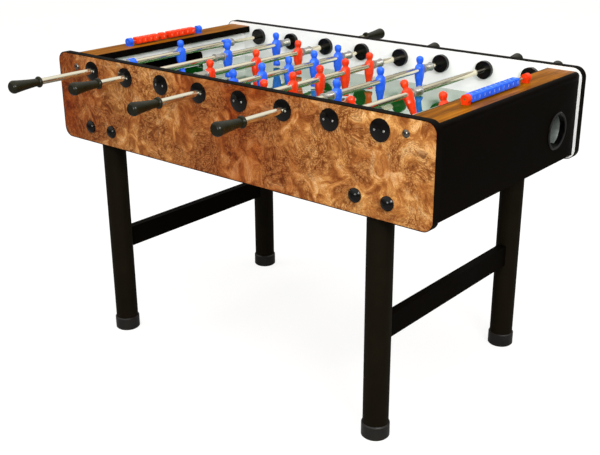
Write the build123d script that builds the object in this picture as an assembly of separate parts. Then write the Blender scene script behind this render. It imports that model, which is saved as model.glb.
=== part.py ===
from build123d import *
from math import atan, degrees
import os

# Foosball table, eight telescopic rods, millimetres.
# +X runs along the pitch, the front side panel faces -Y, +Z is up.
# The origin is on the floor, under the centre of the cabinet.

# ---- driving dimensions: cabinet ----
table_length = 1361.0       # over the ends of the side panels
table_width = 765.0         # over the outer faces of the side panels
panel_top = 898.0           # height of the side panels' upper edge
panel_depth = 266.0         # from there down to their lower edge
board_thickness = 20.0      # veneered board of a side panel
liner_thickness = 3.0       # white laminate sheet on its inner face
panel_corner = 30.0         # radius of the side panels' corners
band_thickness = 2.0        # black edge band round each side panel
band_lip = 0.5              # how far the band stands out past the outer face

end_panel_inset = 10.0      # end panel's outer face, in from the side panels' ends
end_panel_thickness = 18.0
end_panel_rise = 16.0       # end panel's lower edge above that of the side panels
end_wall_thickness = 12.0   # inner wall with the goal
trough_room = 40.5          # between the end wall and the end panel
wall_clearance = 5.0        # left between a goalkeeper's swinging foot and the end wall

rail_drop = 12.0            # top of the wooden end rails, below that of the side panels
rail_thickness = 20.0
rail_width = 82.0           # wooden board only
rail_band = 3.0             # black strip on the rail's inner edge
rail_nosing = 12.0          # radius of the black nosing on its outer edge

# ---- driving dimensions: playfield and ball return ----
playfield_drop = 118.0      # upper face of the glass, below the side panels' top
glass_thickness = 4.0
glass_gap = 0.5             # at each long edge of the glass
field_board_thickness = 12.0
groove_depth = 7.5          # playfield board's groove, measured from the liner's face
bottom_board_thickness = 12.0
bottom_board_lift = 2.0     # above the end panels' lower edge
goal_width = 266.0
goal_height = 50.0          # above the glass
ball_diameter = 34.0        # the run is made for it
run_sheet = 1.5             # sheet of the troughs and the channel
run_clearance = 3.0         # round the ball where it passes
run_step = 3.0              # down from the left trough's low end to the channel
trough_lip = 6.0            # height of a trough's edges
trough_drop = 10.0          # from the glass to the high end of a trough's floor
trough_overrun = 7.0        # past the goal opening at the high end
channel_wall = 28.0         # height of the channel's side walls
channel_fall = 16.0         # over the length of the channel
channel_end_gap = 0.5
cup_inset = 112.5           # centre of the ball return cup, in from the back wall
cup_drop = 38.0             # its centre below the glass
cup_radius = 47.0
cup_fit = 0.2               # radial, cup in the end panel
cup_wall = 2.5
cup_bezel_radius = 53.0
cup_bezel_thickness = 4.0
cup_bezel_round = 2.0
cup_dish = 10.0             # slope between the cup's wall and its back
trough_gap = 0.5            # between the right trough and the cup

# ---- driving dimensions: rods and bearings ----
rod_drop = 43.0             # rod axes below the side panels' top
tube_radius = 9.0           # outer, sliding tube
inner_rod_radius = 6.0      # inner rod, held in the domed end bearing
running_fit = 0.05          # radial, tube in bush and inner rod in tube and dome
inner_rod_reach = 300.0     # past the table's middle, inside the tube
bearing_radius = 28.5
bearing_rim = 2.5
bearing_proud = 7.0         # dome above the panel's outer face
sleeve_radius = 17.0        # bearing's sleeve through the side panel
sleeve_fit = 0.1            # radial, sleeve in panel and nut
bearing_nut_radius = 27.0
bearing_nut_thickness = 12.0
dome_floor = 8.0            # left between a blind bore and the panel's outer face
rod_end_gap = 0.3           # inner rod's end, short of the blind bore's floor
buffer_radius = 11.0
buffer_washer_radius = 13.0
buffer_washer = 3.0
collar_radius = 14.0        # goalkeeper's stop collars
collar_length = 25.0
collar_offset = 210.0       # from the goalkeeper's middle
travel_gap = 0.5            # left between a buffer and the bearing nut at the end of travel

# ---- driving dimensions: figures ----
crown_height = 41.0         # crown above the rod's axis
sole_gap = 5.0              # sole above the glass
press_fit = 0.05            # radial, figures, buffers and handle on the tube
head_width = 21.0
head_height = 25.0
neck_radius = 7.2
collar_height = 17.5        # foot of the neck above the rod's axis
shoulder_height = 10.0      # shoulders above it
shoulder_width = 34.0
shoulder_depth = 22.0
chest_height = 1.0          # widest part above it
chest_width = 40.0
chest_depth = 25.0
thigh_width = 32.0          # halfway from the rod to the foot
thigh_depth = 19.0
ankle_width = 19.0
ankle_depth = 14.0
foot_width = 20.0
foot_length = 24.0
foot_height = 16.0
toe_round = 1.0             # slope of the foot's front and back

# ---- driving dimensions: handles ----
handle_length = 99.0
handle_collar_radius = 16.0
handle_collar_length = 11.0
handle_collar_round = 4.5
handle_neck_radius = 11.0
handle_bulb_radius = 18.5
handle_bulb_place = 88.0    # from the collar's face to the thickest part
handle_tip_radius = 12.5
handle_socket = 66.0        # depth of the tube inside the handle
handle_waist = 0.8          # hollow of the taper's curve

# ---- driving dimensions: legs ----
leg_inset_x = 177.5         # leg centre, in from the side panels' ends
leg_inset_y = 43.5          # leg centre, in from their outer faces
leg_radius = 35.0
leg_wall = 2.5
leg_cap = 6.0
bracket_thickness = 5.0
bracket_height = 80.0
bracket_width = 130.0
bracket_foot_width = 60.0
bracket_flare = 28.0        # height at which the bracket reaches its full width
bracket_corner = 12.0
notch_gap = 1.0             # bottom board's notch round a bracket
bolt_spacing = 96.0
bolt_height = 48.0          # above the side panels' lower edge
bolt_head_radius = 19.0
bolt_head_height = 14.0
bolt_radius = 5.0
bolt_fit = 0.2
bolt_end = 3.0              # thread past the nut
nut_radius = 9.8            # over its corners
nut_thickness = 8.0
foot_cup_radius = 38.5
foot_cup_height = 42.0
foot_cup_floor = 10.0
foot_cup_chamfer = 3.0
crossbar_height = 64.0
crossbar_thickness = 25.0
crossbar_wall = 2.0
crossbar_middle = 311.0     # height of its middle above the floor

# ---- driving dimensions: score counters and cap ----
cube_pitch = 24.0
cube_gap = 0.4              # between neighbouring cubes
cube_depth = 22.0
cube_height = 20.0
cube_bore_fit = 0.1         # radial, cube on the counter rod
counter_slack = 48.0        # free length on a full counter rod
counter_shift = -3.5        # counters' middle along Y
counter_rod_radius = 3.0
counter_rod_lift = 13.5     # counter rod's axis above the rail
right_gap = 2.0             # before the right counter's first cube
support_thickness = 16.0
support_radius = 11.5       # round head of a counter post
support_foot = 17.0         # width of its foot
counter_cubes = 10
left_cubes = [("near", 4), ("middle", 1), ("far", 5)]
left_gaps = [13.5, 9.5, 10.0]   # free length before each of them
cap_radius = 10.0           # caps over the screws that hold the end rails
cap_height = 6.0
cap_inset = 3.0             # their middle, in from the end wall's inner face
cap_drop = 7.0              # below the rail

cut_over = 1.0              # how far a cutting tool reaches past what it cuts

# team, number of men, place in the rod's travel (-1 to 1), tilt of the figures towards +X in degrees
rod_plan = [
    ("blue", 1, -0.19, 0.0),
    ("blue", 2, 0.94, 0.0),
    ("red", 3, 0.15, 0.0),
    ("blue", 5, -0.16, 0.0),
    ("red", 5, -0.96, 0.0),
    ("blue", 3, 0.44, 0.0),
    ("red", 2, -0.97, -24.0),
    ("red", 1, -0.98, -10.0),
]
# number of men: spacing, buffer length, free hand space between handle and bearing
rod_kinds = {
    1: (0.0, 17.0, 49.0),
    2: (235.0, 40.0, 76.0),
    3: (200.0, 40.0, 88.0),
    5: (119.0, 40.0, 76.0),
}

# ---- derived places ----
outer_y = table_width / 2
liner_y = outer_y - board_thickness
inner_y = liner_y - liner_thickness
panel_bottom = panel_top - panel_depth
panel_middle = panel_top - panel_depth / 2
end_x = table_length / 2 - end_panel_inset
end_panel_x = end_x - end_panel_thickness
end_panel_bottom = panel_bottom + end_panel_rise
playfield_height = panel_top - playfield_drop
rod_height = panel_top - rod_drop
man_sole = rod_height - playfield_height - sole_gap
wall_back_x = end_panel_x - trough_room
wall_x = wall_back_x - end_wall_thickness
goal_rod_x = wall_x - wall_clearance - man_sole
rod_pitch = 2 * goal_rod_x / (len(rod_plan) - 1)
rail_top = panel_top - rail_drop
rail_bottom = rail_top - rail_thickness
rail_outer_x = end_x - rail_nosing
rail_inner_x = rail_outer_x - rail_width
rail_middle_x = (rail_outer_x + rail_inner_x - rail_band) / 2
board_top = playfield_height - glass_thickness
board_bottom = board_top - field_board_thickness
bottom_board_z = end_panel_bottom + bottom_board_lift
bottom_board_top = bottom_board_z + bottom_board_thickness
leg_x = table_length / 2 - leg_inset_x
leg_y = outer_y - leg_inset_y
bolt_z = panel_bottom + bolt_height
nut_face_y = inner_y - bearing_nut_thickness
ball_way = ball_diameter + 2 * run_clearance
channel_width = ball_way + 2 * run_sheet
cup_y = inner_y - cup_inset
cup_z = playfield_height - cup_drop
trough_x = (wall_back_x + end_panel_x) / 2
trough_start = -goal_width / 2 - trough_overrun
trough_top = playfield_height - trough_drop
trough_low = board_bottom - ball_diameter - run_clearance
trough_slope = (trough_top - trough_low) / (cup_y - trough_start)
channel_floor = trough_low - run_step
channel_slope = channel_fall / (2 * wall_back_x)
support_y = (counter_cubes * cube_pitch + counter_slack + support_thickness) / 2

os.makedirs("parts", exist_ok=True)


def write(name, *shapes):
    """Write one node; a group keeps its pieces as separate solids."""
    solids = [solid for shape in shapes for solid in shape.solids()]
    export_step(solids[0] if len(solids) == 1 else Compound(children=solids), f"parts/{name}.step")


def block(x0, x1, y0, y1, z0, z1):
    """Box between two corners."""
    return Pos((x0 + x1) / 2, (y0 + y1) / 2, (z0 + z1) / 2) * Box(x1 - x0, y1 - y0, z1 - z0)


def bar_y(radius, y0, y1, x=0.0, z=0.0):
    """Cylinder along Y."""
    return Pos(x, (y0 + y1) / 2, z) * Rot(90, 0, 0) * Cylinder(radius, y1 - y0)


def bar_z(radius, z0, z1, x=0.0, y=0.0):
    """Cylinder along Z."""
    return Pos(x, y, (z0 + z1) / 2) * Cylinder(radius, z1 - z0)


def turned(outline):
    """Solid of revolution about Y from the edges of a half outline."""
    return revolve(make_face(outline), Axis.Y)


def in_quarter(shape, side_x, side_y):
    """Move a shape made in the +X +Y quarter of the table into another quarter."""
    if side_x < 0:
        shape = mirror(shape, Plane.YZ)
    if side_y < 0:
        shape = mirror(shape, Plane.XZ)
    return shape


def in_all_quarters(shape):
    return [in_quarter(shape, side_x, side_y) for side_x in (-1, 1) for side_y in (-1, 1)]


def rod_x(index):
    return rod_pitch * index - goal_rod_x


# ---------------------------------------------------------------- side panels
def panel_slab(inset, y0, y1):
    """Rounded slab of a back side panel, its outline reduced by inset."""
    length = table_length - 2 * inset
    height = panel_top - panel_bottom - 2 * inset
    plane = Plane(origin=(0, y1, panel_middle), x_dir=(1, 0, 0), z_dir=(0, -1, 0))
    return extrude(plane * RectangleRounded(length, height, panel_corner - inset), y1 - y0)


def panel_cuts(y0, y1):
    """Bearing holes, leg bolt holes and the playfield's groove."""
    hole = sleeve_radius + sleeve_fit
    cuts = [bar_y(hole, y0, y1, rod_x(index), rod_height) for index in range(len(rod_plan))]
    for x in (leg_x - bolt_spacing / 2, leg_x + bolt_spacing / 2):
        for side in (-1, 1):
            cuts.append(bar_y(bolt_radius + bolt_fit, y0, y1, side * x, bolt_z))
    groove_y = inner_y + groove_depth
    cuts.append(block(-wall_x, wall_x, y0, groove_y, board_bottom, board_top))
    return cuts


def side_board():
    return panel_slab(band_thickness, liner_y, outer_y) - panel_cuts(liner_y - cut_over, outer_y + cut_over)


def wall_liner():
    return panel_slab(band_thickness, inner_y, liner_y) - panel_cuts(inner_y - cut_over, liner_y + cut_over)


def edge_band():
    """Black band round a side panel's whole edge."""
    high = outer_y + band_lip
    return panel_slab(0, inner_y, high) - panel_slab(band_thickness, inner_y - cut_over, high + cut_over)


# ---------------------------------------------------------------- ends of the cabinet
def end_panel():
    return block(end_panel_x, end_x, -inner_y, inner_y, end_panel_bottom, rail_bottom)


def end_wall(window_bottom, window_top):
    """Inner wall at +X, with its goal and a window for the ball channel."""
    wall = block(wall_x, wall_back_x, -inner_y, inner_y, bottom_board_top, rail_bottom)
    x0 = wall_x - cut_over
    x1 = wall_back_x + cut_over
    half_goal = goal_width / 2
    half_window = channel_width / 2
    goal = block(x0, x1, -half_goal, half_goal, playfield_height, playfield_height + goal_height)
    window = block(x0, x1, cup_y - half_window, cup_y + half_window, window_bottom, window_top)
    return wall - goal - window


def end_rail():
    return block(rail_inner_x, rail_outer_x, -inner_y, inner_y, rail_bottom, rail_top)


def rail_strip():
    """Black strip along the rail's inner edge."""
    return block(rail_inner_x - rail_band, rail_inner_x, -inner_y, inner_y, rail_bottom, rail_top)


def rail_nosing_strip():
    """Black moulding that rounds the rail off to the end panel's outer face."""
    shoulder_z = rail_top - rail_nosing
    outline = make_face([
        Line((rail_outer_x, rail_bottom), (end_x, rail_bottom)),
        Line((end_x, rail_bottom), (end_x, shoulder_z)),
        CenterArc((rail_outer_x, shoulder_z), rail_nosing, 0, 90),
        Line((rail_outer_x, rail_top), (rail_outer_x, rail_bottom)),
    ])
    plane = Plane(origin=(0, inner_y, 0), x_dir=(1, 0, 0), z_dir=(0, -1, 0))
    return extrude(plane * outline, 2 * inner_y)


# ---------------------------------------------------------------- boards
def playfield_board():
    edge = inner_y + groove_depth
    return block(-wall_x, wall_x, -edge, edge, board_bottom, board_top)


def playfield_glass():
    edge = inner_y - glass_gap
    return block(-wall_x, wall_x, -edge, edge, board_top, playfield_height)


def bottom_board():
    """Closes the cabinet from below, notched round the leg brackets."""
    board = block(-end_panel_x, end_panel_x, -inner_y, inner_y, bottom_board_z, bottom_board_top)
    half = bracket_width / 2 + notch_gap
    notch = block(leg_x - half, leg_x + half, inner_y - bracket_thickness - notch_gap, inner_y + cut_over,
                  bottom_board_z - cut_over, bottom_board_top + cut_over)
    return board - in_all_quarters(notch)


# ---------------------------------------------------------------- ball return
def goal_trough(end_y, outlet):
    """Sloping trough behind the goal at +X; an outlet lets the ball out to the inner side."""
    length = end_y - trough_start
    half = trough_room / 2
    inner_half = half - run_sheet
    low_edge = length - run_sheet
    lip_cut = trough_lip + cut_over
    sheet = block(-half, half, 0, length, -run_sheet, trough_lip)
    sheet -= block(-inner_half, inner_half, -cut_over, low_edge, 0, lip_cut)
    if outlet:
        sheet -= block(-half - cut_over, 0, length - channel_width, low_edge, 0, lip_cut)
    else:
        sheet -= block(-inner_half, inner_half, 0, length + cut_over, 0, lip_cut)
    slope = Rot(-degrees(atan(trough_slope)), 0, 0)
    return Pos(trough_x, trough_start, trough_top) * slope * sheet


def ball_channel():
    """Floor strip and two side strips of the channel under the playfield, falling to the cup."""
    half = channel_width / 2
    reach = wall_back_x - channel_end_gap
    floor = block(-reach, reach, -half, half, -run_sheet, 0)
    front = block(-reach, reach, -half, -half + run_sheet, 0, channel_wall)
    slope = Rot(0, degrees(atan(channel_slope)), 0)
    place = Pos(0, cup_y, channel_floor - channel_fall / 2) * slope
    return [place * strip for strip in (floor, front, mirror(front, Plane.XZ))]


def ball_cup():
    """Flanged cup in the right end panel, open to the trough and to the channel."""
    back = wall_back_x
    front = end_x + cup_bezel_thickness
    inner = cup_radius - cup_wall
    outline = Polyline(
        (back, 0), (back, cup_radius), (end_x, cup_radius), (end_x, cup_bezel_radius),
        (front - cup_bezel_round, cup_bezel_radius), (front, cup_bezel_radius - cup_bezel_round),
        (front, inner + cup_bezel_round), (front - cup_bezel_round, inner),
        (back + cup_wall + cup_dish, inner), (back + cup_wall, inner - cup_dish),
        (back + cup_wall, 0), close=True)
    cup = Pos(0, cup_y, cup_z) * revolve(make_face(outline), Axis.X)
    floor_z = trough_top - trough_slope * (cup_y - cup_radius - trough_start)
    side_way = block(back + cup_wall, end_panel_x, cup_y - cup_radius - cut_over, cup_y,
                     floor_z, floor_z + ball_way)
    ball_z = channel_floor - channel_fall + ball_diameter / 2
    back_way = Pos(back, cup_y, ball_z) * Rot(0, 90, 0) * Cylinder(ball_way / 2, 4 * cup_wall)
    return cup - side_way - back_way


# ---------------------------------------------------------------- bearings
def bearing(bore, bore_end):
    """Flanged bearing in the back panel, about the Y axis; bored out as far as bore_end."""
    rim_y = outer_y + bearing_rim
    crown_y = outer_y + bearing_proud
    body = turned([
        Line((0, nut_face_y), (sleeve_radius, nut_face_y)),
        Line((sleeve_radius, nut_face_y), (sleeve_radius, outer_y)),
        Line((sleeve_radius, outer_y), (bearing_radius, outer_y)),
        Line((bearing_radius, outer_y), (bearing_radius, rim_y)),
        TangentArc((bearing_radius, rim_y), (0, crown_y), tangent=(1, 0), tangent_from_first=False),
        Line((0, crown_y), (0, nut_face_y)),
    ])
    return body - bar_y(bore, nut_face_y - cut_over, bore_end)


def bearing_nut():
    """Black ring screwed onto the bearing's sleeve against the inner wall."""
    ring = bar_y(bearing_nut_radius, nut_face_y, inner_y)
    return ring - bar_y(sleeve_radius + sleeve_fit, nut_face_y - cut_over, inner_y + cut_over)


# ---------------------------------------------------------------- rods
def man():
    """Moulded figure about the rod's axis, facing +X."""
    half_foot = foot_length / 2
    half_ankle = ankle_depth / 2
    foot_top = foot_height - man_sole
    toe_z = foot_height / 2 - man_sole
    foot = extrude(Plane.XZ * make_face(Polyline(
        (-half_ankle, foot_top), (-half_foot, toe_z), (toe_round - half_foot, -man_sole),
        (half_foot - toe_round, -man_sole), (half_foot, toe_z), (half_ankle, foot_top), close=True)),
        foot_width / 2, both=True)
    sections = [
        (foot_top, ankle_depth, ankle_width),
        (foot_top / 2, thigh_depth, thigh_width),
        (chest_height, chest_depth, chest_width),
        (shoulder_height, shoulder_depth, shoulder_width),
        (collar_height, 2 * neck_radius, 2 * neck_radius),
    ]
    body = loft([Plane.XY.offset(z) * Ellipse(depth / 2, width / 2) for z, depth, width in sections])
    head_z = crown_height - head_height / 2
    neck = bar_z(neck_radius, shoulder_height, head_z)
    head = Rot(90, 0, 0) * turned([
        EllipticalCenterArc((0, head_z), head_width / 2, head_height / 2, start_angle=-90, arc_size=180),
        Line((0, crown_height), (0, crown_height - head_height)),
    ])
    return foot + body + neck + head - bar_y(tube_radius + press_fit, -chest_width, chest_width)


def sleeve_on_tube(radius, y0, y1):
    return bar_y(radius, y0, y1) - bar_y(tube_radius + press_fit, y0 - cut_over, y1 + cut_over)


def buffer(length):
    """Buffer spring in its sleeve, outer washer at y = 0, reaching back along -Y."""
    washer = bar_y(buffer_washer_radius, -buffer_washer, 0)
    body = washer + bar_y(buffer_radius, -length, 0)
    return body - bar_y(tube_radius + press_fit, -length - cut_over, cut_over)


def handle(face_y):
    """Bottle-shaped grip along -Y whose collar faces the bearing at face_y."""
    neck_y = face_y - handle_collar_length
    bulb_y = face_y - handle_bulb_place
    tip_y = face_y - handle_length
    waist = (handle_neck_radius + handle_bulb_radius) / 2 - handle_waist
    collar_middle = (face_y + neck_y) / 2
    shape = turned([
        Line((0, face_y), (handle_collar_radius - handle_collar_round, face_y)),
        ThreePointArc((handle_collar_radius - handle_collar_round, face_y),
                      (handle_collar_radius, collar_middle),
                      (handle_collar_radius - handle_collar_round, neck_y)),
        Line((handle_collar_radius - handle_collar_round, neck_y), (handle_neck_radius, neck_y)),
        ThreePointArc((handle_neck_radius, neck_y), (waist, (neck_y + bulb_y) / 2),
                      (handle_bulb_radius, bulb_y)),
        TangentArc((handle_bulb_radius, bulb_y), (handle_tip_radius, tip_y), tangent=(0, -1)),
        Line((handle_tip_radius, tip_y), (0, tip_y)),
        Line((0, tip_y), (0, face_y)),
    ])
    return shape - bar_y(tube_radius + press_fit, face_y - handle_socket, face_y + cut_over)


def rod_set(index):
    """Inner rod, tube with buffers, figures and handle of one rod, in their places."""
    team, men, place, tilt = rod_plan[index]
    spacing, buffer_length, hand_space = rod_kinds[men]
    half_row = spacing * (men - 1) / 2 + chest_width / 2
    if men == 1:
        half_row = collar_offset + collar_length / 2
    reach = half_row + buffer_length
    travel = nut_face_y - travel_gap - reach
    handle_face = -(outer_y + bearing_proud + hand_space + travel)

    inner_rod = bar_y(inner_rod_radius, -inner_rod_reach, outer_y - dome_floor - rod_end_gap)
    tube = bar_y(tube_radius, handle_face - handle_socket, reach)
    tube -= bar_y(inner_rod_radius + running_fit, handle_face - handle_socket - cut_over, reach + cut_over)
    end_buffer = Pos(0, reach, 0) * buffer(buffer_length)
    sliding_tube = [tube, end_buffer, mirror(end_buffer, Plane.XZ)]
    figure = man()
    row = [Pos(0, spacing * (step - (men - 1) / 2), 0) * figure for step in range(men)]
    if men == 1:
        low = collar_offset - collar_length / 2
        collar = sleeve_on_tube(collar_radius, low, low + collar_length)
        row += [collar, mirror(collar, Plane.XZ)]

    turn = Rot(0, 0, 0 if team == "blue" else 180)
    still = Pos(rod_x(index), 0, rod_height) * turn
    moved = Pos(rod_x(index), place * travel, rod_height) * Rot(0, tilt, 0) * turn
    return {
        "inner_rod": [still * inner_rod],
        "tube": [moved * piece for piece in sliding_tube],
        "men": [moved * piece for piece in row],
        "handle": [moved * handle(handle_face)],
    }


# ---------------------------------------------------------------- legs
def leg():
    """Steel tube with its cap and, welded on it, the bracket behind the side panel."""
    cap_z = panel_bottom - leg_cap
    tube = bar_z(leg_radius, foot_cup_floor, cap_z, leg_x, leg_y)
    tube -= bar_z(leg_radius - leg_wall, foot_cup_floor - cut_over, cap_z, leg_x, leg_y)
    cap = bar_z(leg_radius, cap_z, panel_bottom, leg_x, leg_y)
    foot_half = bracket_foot_width / 2
    half = bracket_width / 2
    flare_z = panel_bottom + bracket_flare
    top_z = panel_bottom + bracket_height
    plane = Plane(origin=(leg_x, inner_y, 0), x_dir=(1, 0, 0), z_dir=(0, -1, 0))
    outline = make_face(Polyline(
        (-foot_half, panel_bottom), (-half, flare_z), (-half, top_z - bracket_corner),
        (-half + bracket_corner, top_z), (half - bracket_corner, top_z), (half, top_z - bracket_corner),
        (half, flare_z), (foot_half, panel_bottom), close=True))
    bracket = extrude(plane * outline, bracket_thickness)
    holes = [bar_y(bolt_radius + bolt_fit, inner_y - 2 * bracket_thickness, inner_y + cut_over, x, bolt_z)
             for x in (leg_x - bolt_spacing / 2, leg_x + bolt_spacing / 2)]
    return tube + cap + bracket - holes


def foot_cup():
    """Plastic foot that the tube stands in."""
    cup = bar_z(foot_cup_radius, 0, foot_cup_height, leg_x, leg_y)
    cup = chamfer(cup.edges().filter_by(GeomType.CIRCLE), foot_cup_chamfer)
    return cup - bar_z(leg_radius + press_fit, foot_cup_floor, foot_cup_height + cut_over, leg_x, leg_y)


def crossbar():
    """Rectangular tube between two legs, its ends coped round them."""
    half = crossbar_thickness / 2
    low = crossbar_middle - crossbar_height / 2
    high = crossbar_middle + crossbar_height / 2
    bar = block(leg_x - half, leg_x + half, -leg_y, leg_y, low, high)
    bar -= block(leg_x - half + crossbar_wall, leg_x + half - crossbar_wall, -leg_y, leg_y,
                 low + crossbar_wall, high - crossbar_wall)
    for y in (-leg_y, leg_y):
        bar -= bar_z(leg_radius, low - cut_over, high + cut_over, leg_x, y)
    return bar


def domed_head(radius, height, y, x=0.0, z=0.0):
    """Low domed head standing on a face at y, towards +Y."""
    dome = turned([
        Line((0, y), (radius, y)),
        Line((radius, y), (radius, y + height / 4)),
        TangentArc((radius, y + height / 4), (0, y + height), tangent=(1, 0), tangent_from_first=False),
        Line((0, y + height), (0, y)),
    ])
    return Pos(x, 0, z) * dome


def leg_bolt(x):
    nut_y = inner_y - bracket_thickness - nut_thickness
    shank = bar_y(bolt_radius, nut_y - bolt_end, outer_y, x, bolt_z)
    return domed_head(bolt_head_radius, bolt_head_height, outer_y, x, bolt_z) + shank


def leg_nut(x):
    nut_y = inner_y - bracket_thickness
    plane = Plane(origin=(x, nut_y, bolt_z), x_dir=(1, 0, 0), z_dir=(0, -1, 0))
    nut = extrude(plane * RegularPolygon(nut_radius, 6), nut_thickness)
    return nut - bar_y(bolt_radius + press_fit, nut_y - nut_thickness - cut_over, nut_y + cut_over, x, bolt_z)


# ---------------------------------------------------------------- score counters
def counter_support(side_x, end):
    """Post with a round head that holds one end of a counter rod."""
    plane = Plane(origin=(0, support_thickness / 2, 0), x_dir=(1, 0, 0), z_dir=(0, -1, 0))
    outline = Rectangle(support_foot, counter_rod_lift, align=(Align.CENTER, Align.MIN))
    outline += Pos(0, counter_rod_lift) * Circle(support_radius)
    outline -= Pos(0, counter_rod_lift) * Circle(counter_rod_radius + press_fit)
    post = extrude(plane * outline, support_thickness)
    return Pos(side_x * rail_middle_x, counter_shift + end * support_y, rail_top) * post


def counter_rod(side_x):
    reach = support_y + support_thickness / 2
    rod_z = rail_top + counter_rod_lift
    return bar_y(counter_rod_radius, counter_shift - reach, counter_shift + reach,
                 side_x * rail_middle_x, rod_z)


def counter_row(side_x, count, start_y):
    """Cubes threaded on a counter rod, the first one's pitch starting at start_y."""
    rod_z = rail_top + counter_rod_lift
    cubes = []
    for step in range(count):
        low = start_y + step * cube_pitch + cube_gap / 2
        high = low + cube_pitch - cube_gap
        x = side_x * rail_middle_x
        cube = block(x - cube_depth / 2, x + cube_depth / 2, low, high,
                     rod_z - cube_height / 2, rod_z + cube_height / 2)
        bore = bar_y(counter_rod_radius + cube_bore_fit, low - cut_over, high + cut_over, x, rod_z)
        cubes.append(cube - bore)
    return cubes


# ---------------------------------------------------------------- write every node
board = side_board()
liner = wall_liner()
band = edge_band()
write("back_panel", board)
write("front_panel", mirror(board, Plane.XZ))
write("wall_liners", liner, mirror(liner, Plane.XZ))
strips = [rail_strip(), rail_nosing_strip()]
write("edge_trims", band, mirror(band, Plane.XZ), *strips, *[mirror(s, Plane.YZ) for s in strips])

panel = end_panel()
cup_hole = Pos(end_x, cup_y, cup_z) * Rot(0, 90, 0) * Cylinder(cup_radius + cup_fit, 4 * end_panel_thickness)
write("end_panel_left", mirror(panel, Plane.YZ))
write("end_panel_right", panel - cup_hole)
window_low = channel_floor - channel_fall - run_sheet
window_high = channel_floor - run_sheet - channel_slope * end_wall_thickness
right_wall = end_wall(window_low, channel_floor - channel_fall + ball_way)
left_wall = mirror(end_wall(window_high, board_bottom), Plane.YZ)
write("end_walls", left_wall, right_wall)
rail = end_rail()
write("end_rails", mirror(rail, Plane.YZ), rail)

write("playfield_board", playfield_board())
write("playfield_glass", playfield_glass())
write("bottom_board", bottom_board())
right_trough = goal_trough(cup_y - cup_radius - trough_gap, False)
left_trough = mirror(goal_trough(cup_y + channel_width / 2, True), Plane.YZ)
write("ball_runs", left_trough, right_trough, *ball_channel())
write("ball_cup", ball_cup())

bush = bearing(tube_radius + running_fit, outer_y + 2 * bearing_proud)
dome = bearing(inner_rod_radius + running_fit, outer_y - dome_floor)
nut = bearing_nut()
bushes = []
domes = []
nuts = []
for index, (team, men, place, tilt) in enumerate(rod_plan):
    rod_place = Pos(rod_x(index), 0, rod_height)
    handle_side = rod_place * Rot(0, 0, 180 if team == "blue" else 0)
    dome_side = rod_place * Rot(0, 0, 0 if team == "blue" else 180)
    bushes.append(handle_side * bush)
    domes.append(dome_side * dome)
    nuts += [handle_side * nut, dome_side * nut]
write("handle_bushes", *bushes)
write("end_domes", *domes)
write("bearing_nuts", *nuts)

for index in range(len(rod_plan)):
    for piece, solids in rod_set(index).items():
        write(f"rod_{index + 1}_{piece}", *solids)

write("legs", *in_all_quarters(leg()))
write("foot_cups", *in_all_quarters(foot_cup()))
write("crossbars", crossbar(), mirror(crossbar(), Plane.YZ))
bolts = []
for x in (leg_x - bolt_spacing / 2, leg_x + bolt_spacing / 2):
    bolts += in_all_quarters(leg_bolt(x)) + in_all_quarters(leg_nut(x))
write("leg_bolts", *bolts)
screw_cap = domed_head(cap_radius, cap_height, outer_y, wall_x - cap_inset, rail_bottom - cap_drop)
write("rail_caps", *in_all_quarters(screw_cap))

write("counter_posts_left", counter_support(-1, -1), counter_support(-1, 1))
write("counter_posts_right", counter_support(1, -1), counter_support(1, 1))
write("counter_rods", counter_rod(-1), counter_rod(1))
start = counter_shift - support_y + support_thickness / 2
write("counter_cubes_right", *counter_row(1, counter_cubes, start + right_gap))
for (name, count), gap in zip(left_cubes, left_gaps):
    start += gap
    write(f"counter_cubes_left_{name}", *counter_row(-1, count, start))
    start += count * cube_pitch
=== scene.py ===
import math
import bpy
import bmesh
from mathutils import Euler, Matrix, Vector


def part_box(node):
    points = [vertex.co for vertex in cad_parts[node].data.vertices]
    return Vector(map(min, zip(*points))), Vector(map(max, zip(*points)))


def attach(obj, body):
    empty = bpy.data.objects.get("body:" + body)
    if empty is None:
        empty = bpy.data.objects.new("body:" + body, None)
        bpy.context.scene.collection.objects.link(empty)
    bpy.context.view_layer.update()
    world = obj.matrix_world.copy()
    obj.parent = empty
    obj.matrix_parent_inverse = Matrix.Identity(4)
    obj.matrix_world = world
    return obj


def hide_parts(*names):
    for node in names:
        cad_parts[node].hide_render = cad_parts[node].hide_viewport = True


# Foosball table with telescopic rods: finishes, figures, springs, score cubes and small fittings.
# The scene is in metres. Sizes of the pieces made here are in millimetres, and MM turns them
# into metres.
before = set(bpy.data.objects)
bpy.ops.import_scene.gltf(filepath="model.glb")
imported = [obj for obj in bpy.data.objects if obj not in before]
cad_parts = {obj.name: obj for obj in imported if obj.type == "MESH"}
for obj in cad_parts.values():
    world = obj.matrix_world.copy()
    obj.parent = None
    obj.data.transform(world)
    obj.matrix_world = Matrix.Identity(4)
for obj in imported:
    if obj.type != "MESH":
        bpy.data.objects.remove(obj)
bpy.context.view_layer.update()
scene = bpy.context.scene
scene.view_settings.view_transform = "Standard"
MM = 0.001

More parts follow.
